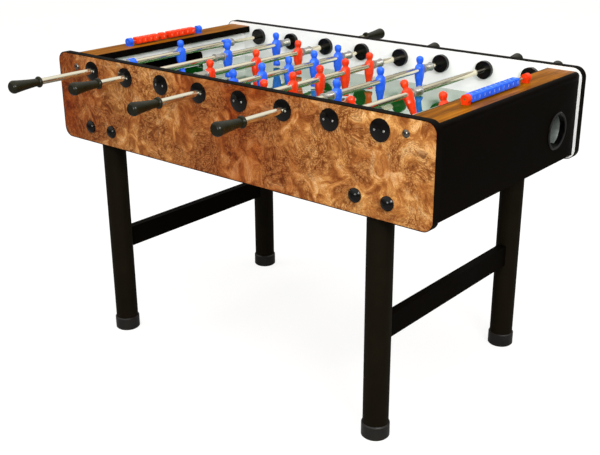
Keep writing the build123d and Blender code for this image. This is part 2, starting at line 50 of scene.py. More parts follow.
# ---------------------------------------------------------------- rods, from the -X end
RODS = range(1, 9)
TEAMS = ["blue", "blue", "red", "blue", "red", "blue", "red", "red"]
MEN = [1, 2, 3, 5, 5, 3, 2, 1]                    # figures on each rod
SPACING = {1: 0.0, 2: 235.0, 3: 200.0, 5: 119.0}  # between the figures of a rod with so many
BUFFER = {1: 17.0, 2: 40.0, 3: 40.0, 5: 40.0}     # length of its springs with their washers
TILT = {7: -24.0, 8: -10.0}                       # degrees that a rod's figures lean towards +X
FIGURE_HALF = 20.0                                # from a figure's middle to the end of its seat
COLLAR_AT = 210.0                                 # goalkeeper's stop collars, from its middle
COLLAR_HALF, COLLAR_RADIUS, COLLAR_EDGE, COLLAR_SIDES = 12.5, 14.0, 1.2, 40
TUBE_RADIUS, TUBE_EDGE, TUBE_SIDES = 9.0, 0.6, 48
INNER_ROD_RADIUS, INNER_ROD_ROOM = 6.0, 0.6       # room round the inner rod in its tube

# ---------------------------------------------------------------- camera and lamps
CAMERA_PLACE = (1.7723, -2.1531, 1.4509)
CAMERA_AZIMUTH = math.radians(40.12)      # from +Y towards -X
CAMERA_TILT = math.radians(21.20)         # below the horizon
CAMERA_ROLL = math.radians(-0.35)
CAMERA_LENS, CAMERA_SENSOR = 57.64, 36

# name, place, aim, size, watts, and whether polished surfaces mirror it
LAMPS = [
    ("over", (0.3, -0.3, 3.6), (0, 0, 0.8), (3.0, 2.4), 78, False),
    ("key", (3.4, -1.8, 2.6), (0, 0, 0.8), (1.6, 1.2), 114, True),
    ("front", (1.2, -3.8, 1.8), (0, 0, 0.7), (1.2, 1.0), 42, True),
    ("left", (-2.4, -1.6, 3.0), (-0.3, 0, 0.8), (1.8, 1.4), 30, False),
]


def place_camera():
    """Camera of the main view, with its small roll about its own aim."""
    data = bpy.data.cameras.new("camera")
    data.lens = CAMERA_LENS
    data.sensor_width = CAMERA_SENSOR
    camera = bpy.data.objects.new("camera", data)
    scene.collection.objects.link(camera)
    aim = Euler((math.pi / 2 - CAMERA_TILT, 0, CAMERA_AZIMUTH)).to_matrix()
    turn = (aim @ Matrix.Rotation(CAMERA_ROLL, 3, "Z")).to_4x4()
    camera.matrix_world = Matrix.Translation(CAMERA_PLACE) @ turn
    scene.camera = camera


def soft_lamp(name, place, aim, size, watts, mirrored):
    """Rectangular area lamp that points at its aim."""
    data = bpy.data.lights.new(name, "AREA")
    data.shape = "RECTANGLE"
    data.size, data.size_y = size
    data.energy = watts
    lamp = bpy.data.objects.new(name, data)
    scene.collection.objects.link(lamp)
    lamp.location = place
    lamp.rotation_euler = (Vector(aim) - Vector(place)).to_track_quat("-Z", "Y").to_euler()
    lamp.visible_glossy = mirrored


# ---------------------------------------------------------------- material tools
def linear(code):
    """sRGB hex value to a linear colour."""
    parts = [int(code[i:i + 2], 16) / 255 for i in (1, 3, 5)]
    return tuple(c / 12.92 if c <= 0.04045 else ((c + 0.055) / 1.055) ** 2.4
                 for c in parts) + (1.0,)


def add(tree, kind, inputs=None, stops=None, **settings):
    """Add a node with its settings; an input is a value or the socket that feeds it."""
    made = tree.nodes.new("ShaderNode" + kind)
    for name, value in settings.items():
        setattr(made, name, value)
    for key, value in (inputs or {}).items():
        if isinstance(value, bpy.types.NodeSocket):
            tree.links.new(value, made.inputs[key])
        else:
            made.inputs[key].default_value = value
    for i, (place, colour) in enumerate(stops or []):
        band = made.color_ramp.elements
        stop = band[i] if i < 2 else band.new(place)
        stop.position = place
        stop.color = linear(colour)
    return made


def mix(tree, factor, one, two, blend="MIX"):
    """Colour of two mixed by a factor."""
    made = add(tree, "Mix", {"Factor": factor, 6: one, 7: two}, data_type="RGBA", blend_type=blend)
    return made.outputs[2]


def maths(tree, operation, *values, clamp=False):
    """Value of a calculation on values or sockets."""
    made = add(tree, "Math", dict(enumerate(values)), operation=operation, use_clamp=clamp)
    return made.outputs["Value"]


def new_material(name):
    """Material with its tree, its principled shader and the object coordinates."""
    material = bpy.data.materials.new(name)
    material.use_nodes = True
    tree = material.node_tree
    shader = tree.nodes["Principled BSDF"]
    place = add(tree, "TexCoord").outputs["Object"]
    return material, tree, shader, place


def per_mm(size):
    """Texture scale, in cycles per metre, for a feature of this size in millimetres."""
    return 1000 / size


def surface(shader, **values):
    """Set sockets of a shader, named with underscores for spaces."""
    for name, value in values.items():
        shader.inputs[name.replace("_", " ")].default_value = value


def relief(tree, shader, height, strength, depth):
    """Bump of a texture's value, this many millimetres deep."""
    bump = add(tree, "Bump", {"Height": height, "Strength": strength, "Distance": depth * MM})
    tree.links.new(bump.outputs["Normal"], shader.inputs["Normal"])


def plain_finish(name, colour, second, roughness, patch=60, grain=0.0, grain_size=1.0, **values):
    """Moulded, coated or sheet material: slow colour change, uneven gloss and a fine surface.

    patch is the size of the slow change, grain the depth of the fine surface and grain_size
    its pitch, all in millimetres.
    """
    material, tree, shader, place = new_material(name)
    slow = add(tree, "TexNoise", {"Vector": place, "Scale": per_mm(patch), "Detail": 3.0})
    tone = add(tree, "ValToRGB", {"Fac": slow.outputs["Fac"]},
               stops=[(0.35, colour), (0.65, second)])
    tree.links.new(tone.outputs["Color"], shader.inputs["Base Color"])
    gloss = add(tree, "MapRange", {"Value": slow.outputs["Fac"], "From Min": 0.3, "From Max": 0.7,
                                   "To Min": roughness * 0.9, "To Max": roughness * 1.15})
    tree.links.new(gloss.outputs["Result"], shader.inputs["Roughness"])
    if grain:
        fine = add(tree, "TexNoise", {"Vector": place, "Scale": per_mm(grain_size), "Detail": 2.0})
        relief(tree, shader, fine.outputs["Fac"], 1.0, grain)
    surface(shader, **values)
    return material


# ---------------------------------------------------------------- woods
VENEER_BEND, EYE_SHAKE = 0.13, 0.006      # metres that the grain and its eyes are pushed about
LEAF_HALF = 0.68                          # metres, half the length of a veneer leaf


def burl_veneer():
    """Lacquered burl veneer: smooth golden flesh, crowds of small dark eyes, reddish clouds, wide
    painted shade at its left end.
    """
    material, tree, shader, place = new_material("lacquered_burl_veneer")
    warp = add(tree, "TexNoise", {"Vector": place, "Scale": per_mm(120), "Detail": 2.0,
                                  "Roughness": 0.5})
    push = add(tree, "VectorMath", {0: warp.outputs["Color"], "Scale": VENEER_BEND},
               operation="SCALE")
    bent = add(tree, "VectorMath", {0: place, 1: push.outputs["Vector"]},
               operation="ADD").outputs["Vector"]
    # smooth figure, a few centimetres wide
    flow = add(tree, "TexNoise", {"Vector": bent, "Scale": per_mm(48), "Detail": 4.0,
                                  "Roughness": 0.55, "Distortion": 0.9})
    flesh = add(tree, "ValToRGB", {"Fac": flow.outputs["Fac"]},
                stops=[(0.34, "#985a28"), (0.66, "#ffd698"), (0.46, "#c28242"), (0.55, "#e6ac62")])
    # fibres that follow the figure, a few millimetres apart
    fibre = add(tree, "TexNoise", {"Vector": bent, "Scale": per_mm(7), "Detail": 5.0,
                                   "Roughness": 0.72, "Distortion": 1.6})
    streak = add(tree, "ValToRGB", {"Fac": fibre.outputs["Fac"]},
                 stops=[(0.36, "#6a4022"), (0.57, "#ffffff"), (0.45, "#d0a078")])
    # crowds of eyes between the smooth places
    crowd = add(tree, "TexNoise", {"Vector": bent, "Scale": per_mm(88), "Detail": 3.0,
                                   "Roughness": 0.55})
    crowded = add(tree, "MapRange", {"Value": crowd.outputs["Fac"], "From Min": 0.44,
                                     "From Max": 0.56})
    jitter = add(tree, "VectorMath", {0: fibre.outputs["Color"], "Scale": EYE_SHAKE},
                 operation="SCALE")
    shaken = add(tree, "VectorMath", {0: bent, 1: jitter.outputs["Vector"]},
                 operation="ADD").outputs["Vector"]
    eyes = add(tree, "TexVoronoi", {"Vector": shaken, "Scale": per_mm(9), "Randomness": 1.0})
    iris = add(tree, "ValToRGB", {"Fac": eyes.outputs["Distance"]},
               stops=[(0.06, "#4a240c"), (0.80, "#6c3a18"), (0.22, "#96602c"), (0.38, "#efc07c"),
                      (0.56, "#a06a34")])
    streaked = mix(tree, 0.55, flesh.outputs["Color"], streak.outputs["Color"], "MULTIPLY")
    eyed = mix(tree, 0.25, iris.outputs["Color"], flesh.outputs["Color"])
    knotted = mix(tree, 0.8, eyed, streak.outputs["Color"], "MULTIPLY")
    wood = mix(tree, maths(tree, "MULTIPLY", crowded.outputs["Result"], 0.85), streaked, knotted)
    # reddish clouds, and wide darkening by place along the panel: painted shade at its left end,
    # and a darker middle
    cloud = add(tree, "TexNoise", {"Vector": bent, "Scale": per_mm(150), "Detail": 3.0})
    clouded = add(tree, "MapRange", {"Value": cloud.outputs["Fac"], "From Min": 0.46,
                                     "From Max": 0.66, "To Min": 0.0, "To Max": 0.4})
    along = add(tree, "SeparateXYZ", {0: place}).outputs["X"]
    share = add(tree, "MapRange", {"Value": along, "From Min": -LEAF_HALF, "From Max": LEAF_HALF})
    # painted shade: this ramp darkens the panel's left end, and its middle too
    painted_left_shade_dark_middle = add(tree, "ValToRGB", {"Fac": share.outputs["Result"]},
                stops=[(0.0, "#e8e8e8"), (1.0, "#707070"), (0.28, "#707070"), (0.55, "#e8e8e8"),
                       (0.86, "#000000")])
    clouds_and_painted_shade = maths(tree, "ADD", painted_left_shade_dark_middle.outputs["Color"], clouded.outputs["Result"], clamp=True)
    clouded_and_shaded = mix(tree, clouds_and_painted_shade, wood, linear("#b87e56"), "MULTIPLY")
    tree.links.new(clouded_and_shaded, shader.inputs["Base Color"])
    relief(tree, shader, fibre.outputs["Fac"], 0.2, 0.06)
    surface(shader, Roughness=0.4, Specular_IOR_Level=0.12, Coat_Weight=0.12, Coat_Roughness=0.06)
    return material


def rail_wood():
    """Lacquered orange-brown wood with its grain along the rail."""
    material, tree, shader, place = new_material("lacquered_hardwood")
    along = add(tree, "Mapping", {"Vector": place, "Scale": (1.0, 0.06, 1.0)}).outputs["Vector"]
    grain = add(tree, "TexNoise", {"Vector": along, "Scale": per_mm(9), "Detail": 7.0,
                                   "Roughness": 0.65, "Distortion": 0.5})
    wood = add(tree, "ValToRGB", {"Fac": grain.outputs["Fac"]},
               stops=[(0.30, "#472500"), (0.70, "#9a5f08"), (0.5, "#774502")])
    tree.links.new(wood.outputs["Color"], shader.inputs["Base Color"])
    relief(tree, shader, grain.outputs["Fac"], 0.4, 0.12)
    surface(shader, Roughness=0.42, Specular_IOR_Level=0.04, Coat_Weight=0.02, Coat_Roughness=0.1)
    return material


# ---------------------------------------------------------------- playfield
LINE_HALF = 2.5                                     # half the width of a pitch line
CENTRE_CIRCLE = 105.0
GOAL_AREAS = [(180.0, 200.0), (90.0, 110.0)]        # depth and half width of each
GLARE_FROM, GLARE_FULL = 0.44, 0.66                 # facing values between which glare grows
GLARE_IOR = 3.4


def field_print():
    """Green printed board with plain white pitch lines."""
    material, tree, shader, place = new_material("printed_board")
    cloth = add(tree, "TexNoise", {"Vector": place, "Scale": per_mm(4), "Detail": 3.0})
    green = add(tree, "ValToRGB", {"Fac": cloth.outputs["Fac"]},
                stops=[(0.3, "#0b6a1c"), (0.7, "#158029")])
    axes = add(tree, "SeparateXYZ", {0: place})
    across = maths(tree, "ABSOLUTE", axes.outputs["X"])
    aside = maths(tree, "ABSOLUTE", axes.outputs["Y"])
    flat = add(tree, "CombineXYZ", {"X": axes.outputs["X"], "Y": axes.outputs["Y"]})
    out = add(tree, "VectorMath", {0: flat.outputs["Vector"]}, operation="LENGTH").outputs["Value"]

    def near(value, at):
        return maths(tree, "COMPARE", value, at, LINE_HALF * MM)

    marks = maths(tree, "MAXIMUM", near(across, 0.0), near(out, CENTRE_CIRCLE * MM))
    goal_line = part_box("playfield_board")[1][0]
    for depth, width in GOAL_AREAS:
        front, half = goal_line - depth * MM, width * MM
        bar = maths(tree, "MULTIPLY", near(across, front), maths(tree, "LESS_THAN", aside, half))
        side = maths(tree, "MULTIPLY", near(aside, half),
                     maths(tree, "GREATER_THAN", across, front))
        marks = maths(tree, "MAXIMUM", marks, maths(tree, "MAXIMUM", bar, side))
    paint = mix(tree, marks, green.outputs["Color"], linear("#dfe6dc"))
    tree.links.new(paint, shader.inputs["Base Color"])
    surface(shader, Roughness=0.55)
    return material


def field_glass():
    """Clear float glass; shadow rays pass so that the print below stays lit."""
    material, tree, shader, place = new_material("float_glass")
    dust = add(tree, "TexNoise", {"Vector": place, "Scale": per_mm(90), "Detail": 4.0})
    haze = add(tree, "MapRange", {"Value": dust.outputs["Fac"], "To Min": 0.0, "To Max": 0.05})
    tree.links.new(haze.outputs["Result"], shader.inputs["Roughness"])
    # a mirror towards grazing views, as over a dark print
    slant = add(tree, "LayerWeight", {"Blend": 0.5}).outputs["Facing"]
    glare = add(tree, "MapRange", {"Value": slant, "From Min": GLARE_FROM,
                                   "From Max": GLARE_FULL})
    tree.links.new(glare.outputs["Result"], shader.inputs["Coat Weight"])
    surface(shader, Base_Color=linear("#eaf6ee"), Transmission_Weight=1.0, IOR=1.52,
            Coat_IOR=GLARE_IOR, Coat_Roughness=0.02)
    clear = add(tree, "BsdfTransparent")
    path = add(tree, "LightPath")
    mixed = add(tree, "MixShader", {0: path.outputs["Is Shadow Ray"], 1: shader.outputs["BSDF"],
                                    2: clear.outputs["BSDF"]})
    tree.links.new(mixed.outputs["Shader"], tree.nodes["Material Output"].inputs["Surface"])
    return material


# ---------------------------------------------------------------- metal
def polished_metal(name, colour, low, high):
    """Bright metal with faint polishing marks along Y, between two values of roughness."""
    material, tree, shader, place = new_material(name)
    along = add(tree, "Mapping", {"Vector": place, "Scale": (1.0, 0.02, 1.0)}).outputs["Vector"]
    marks = add(tree, "TexNoise", {"Vector": along, "Scale": per_mm(1.2), "Detail": 3.0})
    gloss = add(tree, "MapRange", {"Value": marks.outputs["Fac"], "To Min": low, "To Max": high})
    tree.links.new(gloss.outputs["Result"], shader.inputs["Roughness"])
    surface(shader, Base_Color=linear(colour), Metallic=1.0)
    return material


# ---------------------------------------------------------------- finishes
DEEP_BLACK = dict(Specular_IOR_Level=0.02)
FINISHES = {
    "burl": burl_veneer(),
    "rail": rail_wood(),
    "print": field_print(),
    "glass": field_glass(),
    # chromed steel of the rods: mirror-bright, with a warm tint that is a painted reflection of the
    # burl veneer
    "chrome": polished_metal("chromed_steel", "#e8e0c6", 0.06, 0.13),
    # black chrome of the small caps over the rails' screws
    "dark_chrome": polished_metal("black_chrome", "#7a766e", 0.05, 0.12),
    # zinc-plated spring wire and screws: satin
    "spring": polished_metal("zinc_plated_wire", "#cfcfcc", 0.25, 0.35),
    # grey nylon washers of the springs: smooth and slightly glossy
    "washer": plain_finish("grey_nylon", "#8c8c88", "#7c7c79", 0.3, patch=10),
    # extruded black edging: near black with a soft sheen along its crown
    "edging": plain_finish("black_edging", "#060402", "#090604", 0.4, patch=40, **DEEP_BLACK),
    # white melamine of the inner walls: even and slightly glossy
    "laminate": plain_finish("white_melamine", "#fafaf8", "#f5f5f3", 0.25, patch=200),
    # black laminate of the end panels: deep and even
    "end_black": plain_finish("black_laminate", "#060402", "#090603", 0.5, patch=90, grain=0.04,
                              grain_size=0.8, **DEEP_BLACK),
    # raw chipboard of the bottom: coarse and pale
    "chipboard": plain_finish("raw_chipboard", "#a0805a", "#876845", 0.8, patch=6, grain=0.2,
                              grain_size=2.0),
    # galvanised sheet of the ball runs: mid grey with a faint spangle
    "sheet": plain_finish("galvanised_sheet", "#6c736e", "#7c837e", 0.45, patch=12, Metallic=0.6),
    # glossy moulded nylon of bearings, bolt heads and the cup
    "moulded": plain_finish("moulded_nylon", "#050404", "#090807", 0.16, patch=20,
                            Specular_IOR_Level=0.3),
    # softer polypropylene of the handles, faintly olive
    "grip": plain_finish("moulded_polypropylene", "#141408", "#1c1b0d", 0.25, patch=25, grain=0.02,
                         grain_size=0.7, Specular_IOR_Level=0.25),
    # glossy polystyrene of the two teams
    "blue": plain_finish("blue_polystyrene", "#1e56dc", "#2864ea", 0.22, patch=15,
                         Specular_IOR_Level=0.35),
    "red": plain_finish("red_polystyrene", "#dd2c05", "#e83c10", 0.22, patch=15,
                        Specular_IOR_Level=0.35),
    # faint pad-printed numbers, paler than the plastic below
    "digit_blue": plain_finish("pale_blue_ink", "#86a4f4", "#7c9cf0", 0.5, patch=10),
    "digit_red": plain_finish("pale_red_ink", "#f4825c", "#f07a54", 0.5, patch=10),
    # satin powder coat of the legs: faint orange peel
    "enamel": plain_finish("black_powder_coat", "#120e06", "#161108", 0.5, patch=80, grain=0.05,
                           grain_size=1.2, Specular_IOR_Level=0.06),
    # flat black enamel of the crossbars
    "bar_enamel": plain_finish("flat_black_enamel", "#060402", "#090603", 0.5, patch=90,
                               grain=0.04, grain_size=0.8, **DEEP_BLACK),
    # rubber of the foot cups: dark grey with a fine moulded grain
    "rubber": plain_finish("moulded_rubber", "#151210", "#1b1815", 0.36, patch=30, grain=0.04,
                           grain_size=0.7, Specular_IOR_Level=0.4),
}

NODE_FINISH = {
    "front_panel": "burl", "back_panel": "burl", "edge_trims": "edging",
    "wall_liners": "laminate", "end_walls": "laminate", "end_rails": "rail",
    "end_panel_left": "end_black", "end_panel_right": "end_black",
    "playfield_board": "print", "playfield_glass": "glass", "bottom_board": "chipboard",
    "ball_runs": "sheet", "ball_cup": "moulded",
    "handle_bushes": "moulded", "end_domes": "moulded", "bearing_nuts": "moulded",
    "legs": "enamel", "foot_cups": "rubber", "crossbars": "bar_enamel", "leg_bolts": "moulded",
    "rail_caps": "dark_chrome", "counter_posts_left": "blue", "counter_posts_right": "red",
    "counter_rods": "chrome", "counter_cubes_right": "blue", "counter_cubes_left_near": "red",
    "counter_cubes_left_middle": "red", "counter_cubes_left_far": "red",
}
for number, team in enumerate(TEAMS, 1):
    NODE_FINISH[f"rod_{number}_inner_rod"] = "chrome"
    NODE_FINISH[f"rod_{number}_tube"] = "chrome"
    NODE_FINISH[f"rod_{number}_men"] = team
    NODE_FINISH[f"rod_{number}_handle"] = "grip"

for name, finish in NODE_FINISH.items():
    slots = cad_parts[name].data.materials
    slots.clear()
    slots.append(FINISHES[finish])


# ---------------------------------------------------------------- mesh tools, in millimetres
def spun(bm, outline, centre, sides, closed=False):
    """Turn an outline of (distance along Y, radius) once round an axis through a centre."""
    verts = [bm.verts.new(Vector(centre) + Vector((radius, along, 0))) for along, radius in outline]
    ends = verts[1:] + verts[:1] if closed else verts[1:]
    edges = [bm.edges.new(pair) for pair in zip(verts, ends)]
    bmesh.ops.spin(bm, geom=verts + edges, cent=centre, axis=(0, 1, 0), angle=2 * math.pi,
                   steps=sides, use_merge=True)


def sleeve(low, high, bore, radius, edge):
    """Outline of a ring from low to high along its axis, with its outer edges rounded."""
    soft = 0.3 * edge
    return [(low, bore), (low, radius - edge), (low + soft, radius - soft), (low + edge, radius),
            (high - edge, radius), (high - soft, radius - soft), (high, radius - edge),
            (high, bore)]


def edges_of(verts):
    """Edges at these corners, always in the same order."""
    return list(dict.fromkeys(edge for vert in verts for edge in vert.link_edges))


def fill_ends(bm):
    bmesh.ops.holes_fill(bm, edges=[edge for edge in bm.edges if edge.is_boundary], sides=0)


def rounded(bm, geom, offset, segments, affect="EDGES"):
    bmesh.ops.bevel(bm, geom=geom, offset=offset, segments=segments, profile=0.5, affect=affect,
                    material=-1)


def in_order(elements, key):
    """Sort corners or faces, which the operators leave in another order at each run."""
    for i, element in enumerate(sorted(elements, key=key)):
        element.index = i
    elements.sort()


def shape_of(bm):
    """Turn a finished bmesh into a mesh that can be stamped at many places."""
    mesh = bpy.data.meshes.new("shape")
    bm.to_mesh(mesh)
    bm.free()
    return mesh


def stamp(bm, mesh, place):
    """Add a copy of a mesh, moved by a matrix."""
    copy = mesh.copy()
    copy.transform(place)
    bm.from_mesh(copy)
    bpy.data.meshes.remove(copy)


def piece(name, body, parts, *replaced, sharp=50):
    """Join parts, each a finish with its bmesh, into one object that rides on a body.

    The edges that turn more than sharp, in degrees, stay sharp.
    """
    mesh = bpy.data.meshes.new(name)
    whole = bmesh.new()
    for slot, bm in enumerate(parts.values()):
        bmesh.ops.remove_doubles(bm, verts=bm.verts, dist=0.001)
        bmesh.ops.recalc_face_normals(bm, faces=bm.faces)
        in_order(bm.verts, lambda vert: vert.co[:])
        in_order(bm.faces, lambda face: face.calc_center_median()[:])
        bmesh.ops.scale(bm, vec=(MM, MM, MM), verts=bm.verts)
        for face in bm.faces:
            face.material_index = slot
            face.smooth = True
        bm.to_mesh(mesh)
        bm.free()
        whole.from_mesh(mesh)
    whole.to_mesh(mesh)
    whole.free()
    for finish in parts:
        mesh.materials.append(FINISHES[finish])
    mesh.set_sharp_from_angle(angle=math.radians(sharp))
    made = bpy.data.objects.new(name, mesh)
    scene.collection.objects.link(made)
    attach(made, body)
    if replaced:
        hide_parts(*replaced)


def corners(node):
    """Lowest and highest corner of a node in millimetres."""
    low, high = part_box(node)
    return Vector(low) / MM, Vector(high) / MM


def middle(node):
    low, high = corners(node)
    return (low + high) / 2


# ---------------------------------------------------------------- figures
# height over the rod's axis, reach to the front, reach to the back, half width
FIGURE_ROWS = [
    (-70.0, 10.8, 9.4, 9.0), (-69.0, 12.0, 10.4, 9.9), (-62.0, 12.0, 10.0, 10.0),
    (-55.0, 8.2, 7.6, 9.5), (-44.0, 8.6, 8.4, 11.8), (-33.0, 9.8, 9.4, 15.0),
    (-26.0, 10.8, 10.4, 17.2), (-24.5, 11.3, 10.9, 17.8), (-14.0, 12.0, 11.6, 19.0),
    (-5.0, 12.5, 12.3, 20.0), (1.0, 12.6, 12.5, 20.0), (6.0, 12.2, 12.2, 18.8),
    (10.0, 11.2, 11.5, 16.6), (13.0, 9.8, 10.3, 13.4), (15.5, 8.4, 9.0, 9.8),
    (17.5, 7.6, 8.0, 7.8), (19.5, 8.2, 8.5, 8.0), (24.0, 10.0, 10.0, 9.6),
    (29.5, 10.8, 10.9, 10.4), (34.5, 9.9, 10.6, 9.6), (38.5, 6.8, 7.8, 6.6),
    (40.8, 2.0, 2.4, 2.0),
]
FIGURE_SIDES = 40
ROW_STEPS = 3
SOLE_TOP, SOLE_BOX = -57.0, 0.75              # below this height the outline is squarer
# grooves between arms and body: heights with the lengths over which they fade, then the
# angle from the front and its spread in degrees, and the depth as a share
ARM_TOP, ARM_TOP_FADE, ARM_FOOT, ARM_FOOT_FADE = 14, 6, -24, 5
ARM_ANGLE, ARM_SPREAD, ARM_DEPTH = 52, 9, 0.12
# groove between the legs, at the front and the back, that fades out towards the sides
LEG_TOP, LEG_FADE, LEG_SPREAD, LEG_DEPTH = -22, 5, 1.8, 2.2
LEG_SIDE, LEG_SIDE_FADE = 0.3, 0.2            # shares of the reach
CHIN, NOSE_AT, NOSE_HALF_HEIGHT, NOSE_HALF_WIDTH, NOSE_REACH = 20, 28, 2.2, 1.6, 0.9
HAIRLINE, NAPE, HAIR = 33.5, 23, 1.04         # where hair starts, and how far it stands out
BACK_OF_HEAD = -0.1                           # share of the reach


def bell(value, peak, width):
    return math.exp(-((value - peak) / width) ** 2)


def ramp(value, start, length):
    """0 before start, 1 past start + length, straight between."""
    return min(max((value - start) / length, 0.0), 1.0)


def smooth_rows(rows, steps):
    """Rows with smooth curves run through them."""
    made = []
    last = len(rows) - 1
    for i in range(last):
        before, after = rows[max(i - 1, 0)], rows[min(i + 2, last)]
        start, end = rows[i], rows[i + 1]
        for t in (step / steps for step in range(steps)):
            made.append([0.5 * (2 * b + (c - a) * t + (2 * a - 5 * b + 4 * c - d) * t ** 2
                                + (3 * b - a - 3 * c + d) * t ** 3)
                         for a, b, c, d in zip(before, start, end, after)])
    return made + [list(rows[last])]


def figure_shape():
    """Moulded figure that faces +X: arms at its sides, legs together, a plain head with hair."""
    rows = smooth_rows(FIGURE_ROWS, ROW_STEPS)
    bm = bmesh.new()
    base = bmesh.ops.create_circle(bm, segments=FIGURE_SIDES, radius=1.0)["verts"]
    rim = edges_of(base)
    bmesh.ops.spin(bm, geom=base + rim, cent=(0, 0, 0), axis=(0, 0, 1), dvec=(0, 0, 1), angle=0.0,
                   steps=len(rows) - 1)
    for vert in bm.verts:
        height, front, back, half = rows[round(vert.co.z)]
        c, s = vert.co.x, vert.co.y
        boxy = SOLE_BOX if height < SOLE_TOP else 1.0
        x = math.copysign(abs(c) ** boxy, c) * (front if c > 0 else back)
        y = math.copysign(abs(s) ** boxy, s) * half
        angle = math.degrees(math.atan2(abs(s), abs(c)))
        armed = ramp(-height, -ARM_TOP, ARM_TOP_FADE) * ramp(height, ARM_FOOT, ARM_FOOT_FADE)
        draw = 1 - ARM_DEPTH * armed * bell(angle, ARM_ANGLE, ARM_SPREAD)
        legged = ramp(-height, -LEG_TOP, LEG_FADE) * ramp(abs(c), LEG_SIDE, LEG_SIDE_FADE)
        x = x * draw - math.copysign(LEG_DEPTH, c) * legged * bell(y, 0, LEG_SPREAD)
        y *= draw
        if c > 0 and height > CHIN:
            x += (NOSE_REACH * bell(y, 0, NOSE_HALF_WIDTH)
                  * bell(height, NOSE_AT, NOSE_HALF_HEIGHT))
        if height > HAIRLINE or (c < BACK_OF_HEAD and height > NAPE):
            x *= HAIR
            y *= HAIR
        vert.co = (x, y, height)
    fill_ends(bm)
    return shape_of(bm)


def rod_line(number):
    """Middle of a rod's row of figures, on the rod's axis, and its handle's side along Y."""
    axis = middle(f"rod_{number}_inner_rod")
    side = -1 if TEAMS[number - 1] == "blue" else 1
    return Vector((axis.x, middle(f"rod_{number}_men").y, axis.z)), side


def figures(number, shape):
    """All figures of one rod, with a goalkeeper's two stop collars."""
    centre, side = rod_line(number)
    men = MEN[number - 1]
    bm = bmesh.new()
    lean = Matrix.Rotation(math.radians(TILT.get(number, 0.0)), 4, "Y")
    face = Matrix.Rotation(0 if side < 0 else math.pi, 4, "Z")
    for step in range(men):
        away = Vector((0, SPACING[men] * (step - (men - 1) / 2), 0))
        stamp(bm, shape, Matrix.Translation(centre + away) @ lean @ face)
    if men == 1:
        collar = sleeve(-COLLAR_HALF, COLLAR_HALF, TUBE_RADIUS, COLLAR_RADIUS, COLLAR_EDGE)
        for end in (-1, 1):
            spun(bm, collar, centre + Vector((0, end * COLLAR_AT, 0)), COLLAR_SIDES, closed=True)
    piece(f"rod_{number}_figures", f"rod_{number}_player", {TEAMS[number - 1]: bm},
          f"rod_{number}_men", sharp=60)


# ---------------------------------------------------------------- tubes and springs
WIRE, COIL_RADIUS, COIL_PITCH = 0.85, 10.6, 4.4     # wire's radius, coil's middle radius
COIL_STEPS, WIRE_SIDES = 20, 6
WASHER_RADIUS, WASHER, WASHER_EDGE, WASHER_SIDES = 13.0, 3.0, 0.6, 32


def coil(bm, centre, low, high):
    """Coil spring about an axis along Y, from its wire's round section."""
    length = high - low - 2 * WIRE
    turns = max(2, round(length / COIL_PITCH))
    steps = turns * COIL_STEPS
    start = Matrix.Translation((centre.x + COIL_RADIUS, low + WIRE, centre.z))
    wire = bmesh.ops.create_circle(bm, segments=WIRE_SIDES, radius=WIRE, matrix=start)["verts"]
    rim = edges_of(wire)
    bmesh.ops.spin(bm, geom=wire + rim, cent=centre, axis=(0, 1, 0), dvec=(0, length / steps, 0),
                   angle=2 * math.pi * turns, steps=steps)


def rod_tube(number):
    """Chromed tube, open at its far end, with a spring between washers at each end of the row."""
    low, high = corners(f"rod_{number}_tube")
    centre = rod_line(number)[0]
    men = MEN[number - 1]
    half = SPACING[men] * (men - 1) / 2 + FIGURE_HALF
    if men == 1:
        half = COLLAR_AT + COLLAR_HALF
    axis = Vector((centre.x, 0, centre.z))
    tube, washers, wire = bmesh.new(), bmesh.new(), bmesh.new()
    bore = INNER_ROD_RADIUS + INNER_ROD_ROOM
    spun(tube, sleeve(low.y, high.y, bore, TUBE_RADIUS, TUBE_EDGE), axis, TUBE_SIDES, closed=True)
    for end in (-1, 1):
        near, far = sorted((centre.y + end * half, centre.y + end * (half + BUFFER[men])))
        for start in (near, far - WASHER):
            spun(washers, sleeve(start, start + WASHER, TUBE_RADIUS, WASHER_RADIUS, WASHER_EDGE),
                 axis, WASHER_SIDES, closed=True)
        coil(wire, axis, near + WASHER, far - WASHER)
    fill_ends(wire)
    piece(f"rod_{number}_sleeve", f"rod_{number}_player",
          {"chrome": tube, "washer": washers, "spring": wire}, f"rod_{number}_tube")


figure = figure_shape()
for number in RODS:
    figures(number, figure)
    rod_tube(number)
bpy.data.meshes.remove(figure)


# ---------------------------------------------------------------- score counters
CUBE_EDGE, CUBE_GAP = 2.4, 1.4
DIGIT_HEIGHT, DIGIT_RELIEF, DIGIT_WEIGHT = 10.0, 0.15, 0.25


def digits_shape(text):
    """Plain number as a thin raised mesh, centred on the origin."""
    curve = bpy.data.curves.new("number", "FONT")
    curve.body = text
    curve.size = DIGIT_HEIGHT
    curve.align_x, curve.align_y = "CENTER", "CENTER"
    curve.offset = DIGIT_WEIGHT
    curve.extrude = DIGIT_RELIEF
    curve.resolution_u = 3
    holder = bpy.data.objects.new("number", curve)
    scene.collection.objects.link(holder)
    bpy.context.view_layer.update()
    mesh = bpy.data.meshes.new_from_object(holder)
    bpy.data.objects.remove(holder)
    return mesh


